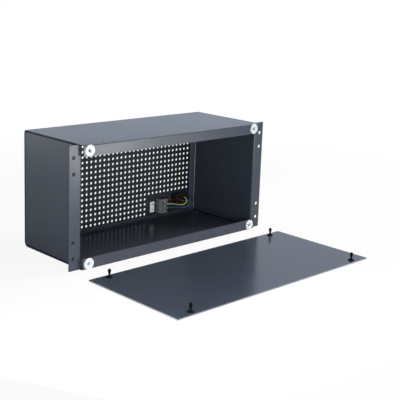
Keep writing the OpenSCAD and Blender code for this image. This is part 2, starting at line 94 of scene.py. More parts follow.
# Places of the case and of the mains parts, from the frame
CASE_HALF_WIDTH, _, CASE_HEIGHT = corners("top_sheet")[1]
WALL_INNER_Y, WALL_OUTER_Y = (corner[1] for corner in corners("rear_panel"))
SHEET = WALL_OUTER_Y - WALL_INNER_Y
INLET = centre("mains_inlet")
BLOCK = centre("terminal_block")
UPPER_TIE = centre("upper_tie_mount")
LOWER_TIE = centre("lower_tie_mount")

# Poles of the terminal block: their distance, and how far in front of the rear wall their bores lie
POLE_PITCH = 0.009
BORE_DEPTH = 0.0065

WHITE: Colour = (1.0, 1.0, 1.0)
ANTHRACITE: Colour = (0.045, 0.055, 0.075)


class Slot(Enum):
    """Names of material slots that go with the new wires; nothing in this script assigns them."""

    BROWN = "brown_insulation"
    GREEN_YELLOW = "green_yellow_insulation"
    BLUE = "blue_insulation"


class Ray(Enum):
    """Kinds of ray that see the white background."""

    CAMERA = "Is Camera Ray"
    GLOSSY = "Is Glossy Ray"
    TRANSMISSION = "Is Transmission Ray"


class Value:
    """A shader socket that carries a number, with Python's own operators."""

    def __init__(self, graph: "Graph", socket: bpy.types.NodeSocket) -> None:
        """Keeps the socket and the graph that it belongs to."""
        self.graph = graph
        self.socket = socket

    def _math(self, operation: str, first: "Value | float", second: "Value | float") -> "Value":
        """Adds one Math node.

        Args:
            operation: The Math node's operation.
            first: The first term.
            second: The second term.

        Returns:
            The result of the node.
        """
        node = self.graph.add("ShaderNodeMath", {"operation": operation}, {0: first, 1: second})
        return Value(self.graph, node.outputs[0])

    def __add__(self, other: "Value | float") -> "Value":
        """Gives self + other."""
        return self._math("ADD", self, other)

    def __radd__(self, other: float) -> "Value":
        """Gives other + self."""
        return self._math("ADD", other, self)

    def __sub__(self, other: "Value | float") -> "Value":
        """Gives self - other."""
        return self._math("SUBTRACT", self, other)

    def __rsub__(self, other: float) -> "Value":
        """Gives other - self."""
        return self._math("SUBTRACT", other, self)

    def __mul__(self, other: "Value | float") -> "Value":
        """Gives self * other."""
        return self._math("MULTIPLY", self, other)

    def __rmul__(self, other: float) -> "Value":
        """Gives other * self."""
        return self._math("MULTIPLY", other, self)

    def __mod__(self, other: float) -> "Value":
        """Gives what is left of self after whole steps of other."""
        return self._math("FLOORED_MODULO", self, other)

    def __abs__(self) -> "Value":
        """Gives the size of self without its sign."""
        return self._math("ABSOLUTE", self, 0.0)

    def __gt__(self, limit: float) -> "Value":
        """Gives 1 where self is above the limit, and 0 elsewhere."""
        return self._math("GREATER_THAN", self, limit)

    def __lt__(self, limit: float) -> "Value":
        """Gives 1 where self is below the limit, and 0 elsewhere."""
        return self._math("LESS_THAN", self, limit)

    def fade(self, start: float, end: float) -> "Value":
        """Rises smoothly from 0 at the start to 1 at the end.

        Args:
            start: Where the rise begins.
            end: Where it is complete.

        Returns:
            The faded value.
        """
        node = self.graph.add(
            "ShaderNodeMapRange",
            {"interpolation_type": "SMOOTHSTEP"},
            {"Value": self, "From Min": start, "From Max": end},
        )
        return Value(self.graph, node.outputs[0])


class Graph:
    """The node tree of one material or of the world."""

    NOISE_ROUGHNESS = 0.55

    def __init__(self, tree: bpy.types.NodeTree) -> None:
        """Starts from an empty tree."""
        self.tree = tree
        tree.nodes.clear()

    def add(self, kind: str, settings: dict[str, object], inputs: dict[str | int, object]) -> bpy.types.Node:
        """Adds one node.

        Args:
            kind: The node's type.
            settings: Properties of the node, set first.
            inputs: Numbers, colours or links of its sockets, by name or place.

        Returns:
            The new node.
        """
        node = self.tree.nodes.new(kind)
        for name, setting in settings.items():
            setattr(node, name, setting)
        for key, value in inputs.items():
            self.feed(node.inputs[key], value)
        return node

    def feed(self, socket: bpy.types.NodeSocket, value: object) -> None:
        """Links a socket or sets its number or colour.

        Args:
            socket: The socket that receives the value.
            value: A Value, another socket, a number, or a colour.
        """
        if isinstance(value, Value):
            self.tree.links.new(value.socket, socket)
        elif isinstance(value, bpy.types.NodeSocket):
            self.tree.links.new(value, socket)
        elif socket.type == "RGBA":
            socket.default_value = (*value, 1.0)
        else:
            socket.default_value = value

    def place(self) -> bpy.types.NodeSocket:
        """Gives the place on the part, in metres."""
        return self.add("ShaderNodeTexCoord", {}, {}).outputs["Object"]

    def axis(self, name: str) -> Value:
        """Gives one coordinate of the place on the part: X, Y or Z."""
        split = self.add("ShaderNodeSeparateXYZ", {}, {0: self.place()})
        return Value(self, split.outputs[name])

    def noise(self, size: float, detail: float = 2.0, stretch: Point = (1.0, 1.0, 1.0)) -> Value:
        """Gives cloudy noise from 0 to 1.

        Args:
            size: Width of one patch, in metres.
            detail: How many finer layers lie over it.
            stretch: How much each axis is stretched out.

        Returns:
            The noise.
        """
        spread = tuple(1.0 / part for part in stretch)
        scaled = self.add("ShaderNodeVectorMath", {"operation": "MULTIPLY"}, {0: self.place(), 1: spread})
        node = self.add(
            "ShaderNodeTexNoise",
            {"noise_dimensions": "3D"},
            {
                "Vector": scaled.outputs[0],
                "Scale": 1.0 / size,
                "Detail": detail,
                "Roughness": self.NOISE_ROUGHNESS,
            },
        )
        return Value(self, node.outputs[0])

    def blend(self, share: Value, first: object, second: object) -> bpy.types.NodeSocket:
        """Mixes two colours.

        Args:
            share: Share of the second colour.
            first: Colour at 0.
            second: Colour at 1.

        Returns:
            The mixed colour.
        """
        node = self.add("ShaderNodeMix", {"data_type": "RGBA"}, {0: share, 6: first, 7: second})
        return node.outputs[2]

    def bump(self, height: Value, depth: float) -> bpy.types.NodeSocket:
        """Turns a height from 0 to 1 into a normal.

        Args:
            height: The height.
            depth: The depth in metres from 0 to 1.

        Returns:
            The normal.
        """
        node = self.add("ShaderNodeBump", {}, {"Strength": 1.0, "Distance": depth, "Height": height})
        return node.outputs[0]


def shade(colour: Colour, factor: float) -> Colour:
    """Gives a lighter or darker tone of a colour.

    Args:
        colour: The colour.
        factor: How much lighter it becomes.

    Returns:
        The new tone.
    """
    return tuple(min(1.0, part * factor) for part in colour)


@dataclass(frozen=True)
class Finish:
    """A surface finish that becomes one material."""

    name: str
    colour: Colour

    def surface(self, graph: Graph) -> dict[str, object]:
        """Gives the inputs of the surface shader.

        Args:
            graph: The material's graph.

        Returns:
            Numbers, colours and links by the name of their socket.
        """
        raise NotImplementedError

    def mottled(self, graph: Graph, share: Value, tones: Tones) -> bpy.types.NodeSocket:
        """Gives the colour, drifting between a darker and a lighter tone.

        Args:
            graph: The material's graph.
            share: Share of the lighter tone.
            tones: The darker and the lighter tone, as factors of the colour.

        Returns:
            The drifting colour.
        """
        darker, lighter = tones
        return graph.blend(share, shade(self.colour, darker), shade(self.colour, lighter))

    def material(self) -> bpy.types.Material:
        """Makes the material, or finds it where it is made already.

        Returns:
            The material.
        """
        if self.name in MADE:
            return MADE[self.name]
        made = bpy.data.materials.new(self.name)
        MADE[self.name] = made
        made.use_nodes = True
        graph = Graph(made.node_tree)
        shader = graph.add("ShaderNodeBsdfPrincipled", {}, self.surface(graph))
        graph.add("ShaderNodeOutputMaterial", {}, {"Surface": shader.outputs[0]})
        made.diffuse_color = (*self.colour, 1.0)
        return made


@dataclass(frozen=True)
class PowderCoat(Finish):
    """Semi-gloss powder coat with a fine orange peel."""

    roughness: float = 0.29
    roughness_drift: float = 0.1
    gloss: float = 0.27
    drift_size: float = 0.11
    drift_detail: float = 3.0
    drift_share: float = 0.7
    grit_size: float = 0.0009
    grit_detail: float = 1.0
    peel_size: float = 0.0016
    peel_depth: float = 0.00002
    tones: Tones = (0.9, 1.1)

    def surface(self, graph: Graph) -> dict[str, object]:
        """Gives a paint whose tone and gloss drift a little, over a fine peel.

        Args:
            graph: The material's graph.

        Returns:
            Numbers, colours and links by the name of their socket.
        """
        drift = graph.noise(self.drift_size, self.drift_detail)
        grit = graph.noise(self.grit_size, self.grit_detail)
        peel = graph.noise(self.peel_size)
        share = self.drift_share * drift + (1.0 - self.drift_share) * grit
        return {
            "Base Color": self.mottled(graph, share, self.tones),
            "Roughness": self.roughness + self.roughness_drift * (drift - 0.5),
            "Specular IOR Level": self.gloss,
            "Normal": graph.bump(peel, self.peel_depth),
        }


@dataclass(frozen=True)
class SeamedCoat(PowderCoat):
    """Powder coat on a side, with painted light and shade: a painted shadow in the seams, painted shade
    inside the case, and a painted highlight on the rear flange and in its bend.
    """

    half_width: float = CASE_HALF_WIDTH
    half_height: float = CASE_HEIGHT / 2
    bend: float = 0.0028
    seam: float = 0.0042
    seam_slack: float = 0.0001
    # Near-black colour of the painted shadow in the seams
    painted_shade: Colour = (0.008, 0.009, 0.011)
    seam_roughness: float = 0.2
    # Painted shade: factor that darkens the inner faces of the sides
    inner_shade_factor: float = 0.88
    flange_y: float = WALL_INNER_Y - SHEET
    flange_bend: float = 0.0012
    flange_slack: float = 0.0003
    # Painted highlight: factor that lightens the front face of the rear flange
    flange_highlight_factor: float = 2.1
    # Painted highlight: factor that lightens the hollow of the flange's bend
    bend_highlight_factor: float = 6.0

    def flange_edge(self) -> float:
        """Gives how far from the middle of the case the flat of the rear flange reaches."""
        return self.half_width - SHEET - self.flange_bend

    def flange(self, graph: Graph) -> Value:
        """Gives 1 on the front face of the rear flange, and 0 elsewhere.

        Args:
            graph: The material's graph.

        Returns:
            The mask.
        """
        facing = abs(graph.axis("Y") - self.flange_y) < self.flange_slack
        return facing * (abs(graph.axis("X")) < self.flange_edge())

    def inner_bend(self, graph: Graph) -> Value:
        """Gives 1 in the hollow of the bend between a side and its rear flange, and 0 elsewhere.

        Args:
            graph: The material's graph.

        Returns:
            The mask.
        """
        out = abs(graph.axis("X")) - self.flange_edge()
        back = graph.axis("Y") - (self.flange_y - self.flange_bend)
        hollow = out * out + back * back < (self.flange_bend + self.flange_slack) ** 2
        return hollow * (out > 0.0) * (back > 0.0)

    def seam_shadow(self, graph: Graph) -> Value:
        """Gives 1 on the outer bends along the seams, where the painted shadow goes, and 0 elsewhere.

        Args:
            graph: The material's graph.

        Returns:
            The mask.
        """
        middle = self.half_width - self.bend / 2
        outer = abs(abs(graph.axis("X")) - middle) < self.bend / 2 + self.seam_slack
        return outer * (abs(graph.axis("Z") - self.half_height) > self.half_height - self.seam)

    def surface(self, graph: Graph) -> dict[str, object]:
        """Gives the coat, with painted shade inside the case, a painted highlight on its flange and bend,
        and a painted shadow in its seams.

        Args:
            graph: The material's graph.

        Returns:
            Numbers, colours and links by the name of their socket.
        """
        sockets = super().surface(graph)
        inner = abs(graph.axis("X")) < self.half_width - self.bend / 4
        seam_shadow = self.seam_shadow(graph)
        coat = sockets["Base Color"]
        # Painted shade inside the case, then painted highlights on the rear flange and in its bend
        for mask, tone in (
            (inner, self.inner_shade_factor),
            (self.flange(graph), self.flange_highlight_factor),
            (self.inner_bend(graph), self.bend_highlight_factor),
        ):
            coat = graph.blend(mask, coat, shade(self.colour, tone))
        # Painted shadow: a near-black, metallic coat in the seams stands in for the shade of the gap between
        # the sheets
        sockets["Base Color"] = graph.blend(seam_shadow, coat, self.painted_shade)
        sockets["Metallic"] = seam_shadow
        sockets["Roughness"] = sockets["Roughness"] + self.seam_roughness * seam_shadow
        return sockets


@dataclass(frozen=True)
class WallCoat(PowderCoat):
    """Powder coat on the rear wall, with painted shade on the inner face, which is also duller than the
    outer one.
    """

    outer_y: float = WALL_OUTER_Y
    outer_skin: float = 0.0003
    # Painted shade: factor that darkens the inner face
    inner_shade_factor: float = 0.42
    inner_dullness: float = 0.3

    def surface(self, graph: Graph) -> dict[str, object]:
        """Gives the coat, with a duller inner face that carries painted shade.

        Args:
            graph: The material's graph.

        Returns:
            Numbers, colours and links by the name of their socket.
        """
        sockets = super().surface(graph)
        inner = graph.axis("Y") < self.outer_y - self.outer_skin
        # Painted shade: the inner face is darkened, for the shade inside the case
        painted_lighting = shade(self.colour, self.inner_shade_factor)
        sockets["Base Color"] = graph.blend(inner, sockets["Base Color"], painted_lighting)
        sockets["Roughness"] = sockets["Roughness"] + self.inner_dullness * inner
        return sockets


@dataclass(frozen=True)
class EdgedCoat(PowderCoat):
    """Powder coat on a flat sheet, with a painted highlight along the cut edges all round."""

    node: str = "front_cover"
    edge: float = 0.0003
    # Colour of the painted highlight on the cut edges
    edge_highlight: Colour = (0.2, 0.21, 0.235)

    def surface(self, graph: Graph) -> dict[str, object]:
        """Gives the coat, with a painted highlight along the edges round the sheet.

        Args:
            graph: The material's graph.

        Returns:
            Numbers, colours and links by the name of their socket.
        """
        sockets = super().surface(graph)
        low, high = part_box(self.node)
        painted_lighting = 0.0
        for name, start, end in zip("XY", low, high):
            half = (end - start) / 2
            painted_lighting = painted_lighting + (abs(graph.axis(name) - (start + half)) > half - self.edge)
        # Painted highlight: the cut edges take a light grey in place of the light they catch
        sockets["Base Color"] = graph.blend(painted_lighting > 0.5, sockets["Base Color"], self.edge_highlight)
        return sockets


@dataclass(frozen=True)
class MouldedPlastic(Finish):
    """Moulded plastic with a faint spark-eroded grain and flow marks."""

    roughness: float = 0.42
    roughness_drift: float = 0.12
    gloss: float = 0.5
    flow_size: float = 0.012
    grain_size: float = 0.0005
    grain_depth: float = 0.00003
    tones: Tones = (0.93, 1.05)

    def surface(self, graph: Graph) -> dict[str, object]:
        """Gives a plastic whose tone follows the flow of the moulding.

        Args:
            graph: The material's graph.

        Returns:
            Numbers, colours and links by the name of their socket.
        """
        flow = graph.noise(self.flow_size)
        grain = graph.noise(self.grain_size)
        return {
            "Base Color": self.mottled(graph, flow, self.tones),
            "Roughness": self.roughness + self.roughness_drift * (flow - 0.5),
            "Specular IOR Level": self.gloss,
            "Normal": graph.bump(grain, self.grain_depth),
        }


@dataclass(frozen=True, kw_only=True)
class BoredPlastic(MouldedPlastic):
    """Moulded plastic with rows of holes from the front, and bores from the side, whose walls carry painted
    shade.
    """

    middle: float
    column: float = 0.0
    row: float
    pitch: float
    hole_radius: float = 0.0016
    side_bore_y: float | None = None
    side_bore_radius: float = 0.0023
    shadow: float

    def surface(self, graph: Graph) -> dict[str, object]:
        """Gives the plastic, with painted shade on the walls of its holes.

        Args:
            graph: The material's graph.

        Returns:
            Numbers, colours and links by the name of their socket.
        """
        sockets = super().surface(graph)
        across = abs(graph.axis("X") - self.middle) - self.column
        up = (graph.axis("Z") - (self.row - self.pitch / 2)) % self.pitch - self.pitch / 2
        bored = across * across + up * up < self.hole_radius ** 2
        if self.side_bore_y is not None:
            deep = graph.axis("Y") - self.side_bore_y
            side_bored = deep * deep + up * up < self.side_bore_radius ** 2
            bored = (bored + side_bored) > 0.5
        # Painted shade on the walls of the holes and bores
        painted_shade = shade(self.colour, self.shadow)
        sockets["Base Color"] = graph.blend(bored, sockets["Base Color"], painted_shade)
        return sockets


@dataclass(frozen=True)
class BareMetal(Finish):
    """Plated steel or brass with drawn streaks and duller patches."""

    roughness: float = 0.24
    streak_roughness: float = 0.1
    patch_roughness: float = 0.08
    streak: Point = (1.0, 6.0, 1.0)
    streak_size: float = 0.0006
    streak_depth: float = 0.00002
    patch_size: float = 0.006
    tones: Tones = (0.86, 1.06)

    def surface(self, graph: Graph) -> dict[str, object]:
        """Gives a metal with streaks along the drawn direction.

        Args:
            graph: The material's graph.

        Returns:
            Numbers, colours and links by the name of their socket.
        """
        streaks = graph.noise(self.streak_size, stretch=self.streak)
        patches = graph.noise(self.patch_size)
        dulled = self.streak_roughness * streaks + self.patch_roughness * patches
        return {
            "Base Color": self.mottled(graph, patches, self.tones),
            "Metallic": 1.0,
            "Roughness": self.roughness + dulled,
            "Normal": graph.bump(streaks, self.streak_depth),
        }


@dataclass(frozen=True)
class RivetFinish(Finish):
    """Blind rivets: heads painted with the case, tails left bright."""

    paint: Colour = ANTHRACITE
    case_height: float = CASE_HEIGHT
    head_depth: float = 0.0006
    roughness: float = 0.26
    patch_roughness: float = 0.1
    paint_roughness: float = 0.06
    patch_size: float = 0.004
    dent_depth: float = 0.00008
    tones: Tones = (0.85, 1.05)

    def surface(self, graph: Graph) -> dict[str, object]:
        """Gives paint on the outer faces and bare metal inside the case.

        Args:
            graph: The material's graph.

        Returns:
            Numbers, colours and links by the name of their socket.
        """
        middle = self.case_height / 2
        painted = abs(graph.axis("Z") - middle) > middle - self.head_depth
        patches = graph.noise(self.patch_size)
        metal = self.mottled(graph, patches, self.tones)
        dulled = self.patch_roughness * patches + self.paint_roughness * painted
        return {
            "Base Color": graph.blend(painted, metal, self.paint),
            "Metallic": 1.0 - painted,
            "Roughness": self.roughness + dulled,
            "Normal": graph.bump(patches, self.dent_depth),
        }


@dataclass(frozen=True)
class WireInsulation(Finish):
    """Glossy wire insulation, in one colour or with two stripes of a second one along it."""

    stripe: Colour | None = None
    stripe_share: float = 0.4
    stripe_blur: float = 0.02
    stripes: int = 2
    roughness: float = 0.3
    wave_roughness: float = 0.1
    wave_size: float = 0.004
    wave_depth: float = 0.00006
    tones: Tones = (0.9, 1.08)

    def striped(self, graph: Graph) -> Value:
        """Gives 1 on the stripes along the wire, and 0 between them.

        Args:
            graph: The material's graph.

        Returns:
            The mask.
        """
        spot = graph.add("ShaderNodeTexCoord", {}, {}).outputs["UV"]
        split = graph.add("ShaderNodeSeparateXYZ", {}, {0: spot})
        around = (self.stripes * Value(graph, split.outputs["X"])) % 1.0
        edge = self.stripe_share / 2
        return 1.0 - abs(around - 0.5).fade(edge - self.stripe_blur, edge + self.stripe_blur)

    def surface(self, graph: Graph) -> dict[str, object]:
        """Gives the insulation with its stripes, and slight waves along the wire.

        Args:
            graph: The material's graph.

        Returns:
            Numbers, colours and links by the name of their socket.
        """
        waves = graph.noise(self.wave_size)
        tone = self.mottled(graph, waves, self.tones)
        if self.stripe is not None:
            tone = graph.blend(self.striped(graph), tone, self.stripe)
        return {
            "Base Color": tone,
            "Roughness": self.roughness + self.wave_roughness * waves,
            "Normal": graph.bump(waves, self.wave_depth),
        }


CASE_PAINT = PowderCoat("case_powder_coat", ANTHRACITE)
# Painted light: a lighter copy of the case paint on the bottom sheet, for the light its lip and floor catch
LIGHTENED_BOTTOM_PAINT = PowderCoat("bottom_powder_coat_lightened", (0.065, 0.072, 0.093), roughness=0.2, gloss=0.04)
SIDE_PAINT = SeamedCoat("side_powder_coat", ANTHRACITE)
WALL_PAINT = WallCoat("rear_wall_powder_coat", ANTHRACITE, gloss=0.2)
COVER_PAINT = EdgedCoat("cover_powder_coat", ANTHRACITE, roughness=0.2)
RIVETS = RivetFinish("rivet_heads_and_tails", (0.62, 0.63, 0.64))
WHITE_NYLON = MouldedPlastic("natural_white_nylon", (0.655, 0.69, 0.705), roughness=0.4)
BLACK_NYLON = MouldedPlastic("black_stud_nylon", (0.003, 0.0033, 0.004), roughness=0.36, gloss=0.04)
INLET_PLASTIC = MouldedPlastic("inlet_moulding", (0.014, 0.014, 0.015), roughness=0.28)
SLEEVE_PLASTIC = MouldedPlastic("sleeve_vinyl", (0.024, 0.024, 0.026), roughness=0.4)
TIE_NYLON = BoredPlastic(
    "tie_mount_nylon",
    (0.9, 0.9, 0.88),
    middle=UPPER_TIE[0],
    row=UPPER_TIE[2],
    pitch=UPPER_TIE[2] - LOWER_TIE[2],
    shadow=0.06,
)
BLOCK_PLASTIC = BoredPlastic(
    "block_moulding",
    (0.19, 0.194, 0.205),
    roughness=0.3,
    middle=BLOCK[0],
    column=0.0052,
    row=BLOCK[2],
    pitch=POLE_PITCH,
    hole_radius=0.0022,
    side_bore_y=WALL_INNER_Y - BORE_DEPTH,
    shadow=0.1,
)
ZINC = BareMetal("zinc_plated_steel", (0.62, 0.63, 0.66))
# Painted shade: brass darkened to stand in for the shade deep in the block's bores
SHADE_DARKENED_BRASS = BareMetal("drawn_brass_darkened_for_shade", (0.3, 0.2, 0.07), roughness=0.26, streak=(6.0, 1.0, 1.0))
BROWN = WireInsulation("brown_wire_vinyl", (0.07, 0.024, 0.012))
GREEN_YELLOW = WireInsulation("green_yellow_wire_vinyl", (0.62, 0.6, 0.14), stripe=(0.05, 0.3, 0.09))
BLUE = WireInsulation("blue_wire_vinyl", (0.035, 0.125, 0.24))


@dataclass
class SubAssembly:
    """A group of pieces that are built and dressed together."""

    def build(self) -> None:
        """Makes and dresses the pieces of the group."""
        raise NotImplementedError

    def dress(self, finish: Finish, nodes: Sequence[str]) -> None:
        """Gives a finish to solids of the part.

        Args:
            finish: The finish.
            nodes: Names of the solids' nodes.
        """
        for node in nodes:
            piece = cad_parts[node]
            if not piece.material_slots:
                piece.data.materials.append(finish.material())
            for slot in piece.material_slots:
                slot.material = finish.material()
            LOG.info("%s: %s", node, finish.name)


@dataclass
class SheetCase(SubAssembly):
    """Folded sheets, sides with rack ears, and the perforated rear wall."""

    sides: tuple[str, ...] = ("left_side", "right_side")

    def build(self) -> None:
        """Paints the sheets and finishes the rivets."""
        self.dress(CASE_PAINT, ["top_sheet"])
        self.dress(LIGHTENED_BOTTOM_PAINT, ["bottom_sheet"])
        self.dress(SIDE_PAINT, self.sides)
        self.dress(WALL_PAINT, ["rear_panel"])
        self.dress(RIVETS, ["case_rivets"])


@dataclass
class FrontCover(SubAssembly):
    """Flat cover with its studs, and the catches in the lips that hold it."""

    studs: tuple[str, ...] = ("rear_left", "rear_right", "front_left", "front_right")
    catches: tuple[str, ...] = ("top_left", "top_right", "bottom_left", "bottom_right")

    def build(self) -> None:
        """Paints the cover and finishes its fasteners."""
        self.dress(COVER_PAINT, ["front_cover"])
        self.dress(BLACK_NYLON, ["stud_" + place for place in self.studs])
        self.dress(WHITE_NYLON, ["catch_" + place for place in self.catches])


@dataclass
class MainsParts(SubAssembly):
    """Mains inlet, terminal block and tie mounts in the plain corner of the rear wall."""

    plated: tuple[str, ...] = (
        "inlet_pins",
        "inlet_screws",
        "inlet_nuts",
        "terminal_screws",
        "block_fixings",
    )

    def build(self) -> None:
        """Finishes the plastics and the metals."""
        self.dress(INLET_PLASTIC, ["mains_inlet"])
        self.dress(SLEEVE_PLASTIC, ["push_on_sleeves"])
        self.dress(BLOCK_PLASTIC, ["terminal_block"])
        self.dress(SHADE_DARKENED_BRASS, ["terminal_clamps"])
        self.dress(ZINC, self.plated)
        self.dress(TIE_NYLON, ["upper_tie_mount", "lower_tie_mount"])


@dataclass(frozen=True)
class Wire:
    """One wire: its ends and its way between them.

    A point of the way is its share of the distance from the inlet to the block, its distance in front
    of the rear wall, and its height over the middle of the inlet.
    """

    node: str
    finish: WireInsulation
    slot: Slot
    pin: tuple[float, float]
    pole: int
    way: tuple[Point, ...]


@dataclass
class WireLoom(SubAssembly):
    """Three round wires from the push-on sleeves of the inlet into the clamps of the terminal block."""

    inlet_x: float = INLET[0]
    inlet_z: float = INLET[2]
    wall_y: float = WALL_INNER_Y
    sleeve_y: float = corners("push_on_sleeves")[0][1]
    mouth_x: float = corners("terminal_block")[1][0]
    block_z: float = BLOCK[2]
    bore_depth: float = BORE_DEPTH
    pole_pitch: float = POLE_PITCH
    radius: float = 0.0013
    sleeve_grip: float = 0.002
    lead: float = 0.004
    clamp_depth: float = 0.005
    steps: int = 8
    sides: int = 16
    wires: tuple[Wire, ...] = (
        Wire("live_wire", BROWN, Slot.BROWN, (-0.007, -0.003), 1, (
            (0.24, 0.034, -0.001), (0.36, 0.0364, 0.0015), (0.49, 0.034, 0.0035),
            (0.56, 0.027, 0.004), (0.605, 0.0195, 0.0025), (0.66, 0.012, 0.0005),
            (0.75, 0.008, -0.0003),
        )),
        Wire("earth_wire", GREEN_YELLOW, Slot.GREEN_YELLOW, (0.0, 0.004), 0, (
            (0.03, 0.034, 0.0015), (0.13, 0.0375, -0.002), (0.26, 0.0385, -0.0055),
            (0.38, 0.037, -0.007), (0.46, 0.0325, -0.008), (0.56, 0.022, -0.0085),
            (0.665, 0.012, -0.009), (0.76, 0.0078, -0.0095),
        )),
        Wire("neutral_wire", BLUE, Slot.BLUE, (0.007, -0.003), -1, (
            (-0.16, 0.034, -0.005), (-0.06, 0.0375, -0.0085), (0.07, 0.039, -0.011),
            (0.24, 0.0385, -0.0125), (0.375, 0.0365, -0.0135), (0.46, 0.032, -0.014),
            (0.56, 0.022, -0.0155), (0.665, 0.012, -0.017), (0.76, 0.0078, -0.018),
        )),
    )

    def build(self) -> None:
        """Makes each wire and puts it in the place of its solid."""
        for wire in self.wires:
            path = self.curve(self.points(wire))
            piece = self.tube(wire.node + "_round", path)
            piece.data.materials.append(wire.finish.material())
            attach(piece, "root")
            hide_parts(wire.node)
            length = sum((end - start).length for start, end in zip(path, path[1:]))
            LOG.info("%s: %s", piece.name, wire.finish.name)

    def points(self, wire: Wire) -> list[Vector]:
        """Gives the points that a wire passes, with straight ends in its sleeve and its clamp.

        Args:
            wire: The wire.

        Returns:
            The points from the inlet to the block.
        """
        pin_x, pin_z = wire.pin
        tail = Vector((self.inlet_x + pin_x, self.sleeve_y, self.inlet_z + pin_z))
        pole_z = self.block_z + wire.pole * self.pole_pitch
        mouth = Vector((self.mouth_x, self.wall_y - self.bore_depth, pole_z))
        run = self.inlet_x - self.mouth_x
        middle = [
            Vector((self.inlet_x - run * share, self.wall_y - front, self.inlet_z + rise))
            for share, front, rise in wire.way
        ]
        grip = Vector((0.0, self.sleeve_grip, 0.0))
        lead = Vector((self.lead, 0.0, 0.0))
        clamped = Vector((self.clamp_depth, 0.0, 0.0))
        return [tail + grip, tail - grip, *middle, mouth + lead, mouth, mouth - clamped]

    def curve(self, points: list[Vector]) -> list[Vector]:
        """Lays a smooth curve through points.

        Args:
            points: The points.

        Returns:
            The points of the curve.
        """
        last = len(points) - 1
        path = []
        for i in range(last):
            before, start = points[max(i - 1, 0)], points[i]
            end, after = points[i + 1], points[min(i + 2, last)]
            for step in range(self.steps):
                share = step / self.steps
                turning = share * (0.5 * (after - before) + 1.5 * (start - end))
                bend = before - 2.5 * start + 2.0 * end - 0.5 * after + turning
                path.append(start + share * (0.5 * (end - before) + share * bend))
        path.append(points[last])
        return path

    def rings(self, path: list[Vector]) -> list[Vector]:
        """Gives a ring of points round each point of a path, with no twist from ring to ring.

        Args:
            path: Points of the middle line.

        Returns:
            The points, ring after ring.
        """
        spots = []
        side = Vector((0.0, 0.0, 1.0))
        for i, point in enumerate(path):
            heading = (path[min(i + 1, len(path) - 1)] - path[max(i - 1, 0)]).normalized()
            side = (side - side.dot(heading) * heading).normalized()
            other = heading.cross(side)
            for k in range(self.sides):
                turn = math.tau * k / self.sides
                spots.append(point + self.radius * (math.cos(turn) * side + math.sin(turn) * other))
        return spots

    def skin(self, count: int) -> list[tuple[int, ...]]:
        """Gives the faces between rings, and then one that closes each end.

        Args:
            count: Number of rings.

        Returns:
            The faces, as places in the list of points.
        """
        faces = []
        for i in range(count - 1):
            for k in range(self.sides):
                here, beside = i * self.sides + k, i * self.sides + (k + 1) % self.sides
                faces.append((here, beside, beside + self.sides, here + self.sides))
        faces.append(tuple(reversed(range(self.sides))))
        faces.append(tuple(range((count - 1) * self.sides, count * self.sides)))
        return faces

    def unwrap(self, mesh: bpy.types.Mesh, count: int) -> None:
        """Lays the way round a tube in U and its length in V, apart from its two ends.

        Args:
            mesh: The tube's mesh.
            count: Number of rings.
        """
        sheet = mesh.uv_layers.new(name="around_and_along")
        for face in mesh.polygons[:-2]:
            ring, k = divmod(face.index, self.sides)
            around_and_along = ((k, ring), (k + 1, ring), (k + 1, ring + 1), (k, ring + 1))
            for loop, (u, v) in zip(face.loop_indices, around_and_along):
                sheet.data[loop].uv = (u / self.sides, v / count)

    def tube(self, name: str, path: list[Vector]) -> bpy.types.Object:
        """Makes a round tube along a path.

        Args:
            name: Name of the piece.
            path: Points of the middle line.

        Returns:
            The piece.
        """
        mesh = bpy.data.meshes.new(name)
        mesh.from_pydata(self.rings(path), [], self.skin(len(path)))
        self.unwrap(mesh, len(path))
        mesh.polygons.foreach_set("use_smooth", [True] * len(mesh.polygons))
        piece = bpy.data.objects.new(name, mesh)
        bpy.context.scene.collection.objects.link(piece)
        return piece


@dataclass(frozen=True)
class Lamp:
    """One soft rectangular lamp that looks at a point, mirrored in glossy surfaces or not."""

    name: str
    place: Point
    target: Point
    width: float
    height: float
    power: float
    mirrored: bool = True

    def build(self) -> None:
        """Puts the lamp in the scene."""
        data = bpy.data.lights.new(self.name, "AREA")
        data.shape = "RECTANGLE"
        data.size = self.width
        data.size_y = self.height
        data.energy = self.power
        lamp = bpy.data.objects.new(self.name, data)
        lamp.location = self.place
        lamp.rotation_euler = (Vector(self.target) - Vector(self.place)).to_track_quat("-Z", "Y").to_euler()
        lamp.visible_camera = False
        lamp.visible_glossy = self.mirrored
        bpy.context.scene.collection.objects.link(lamp)


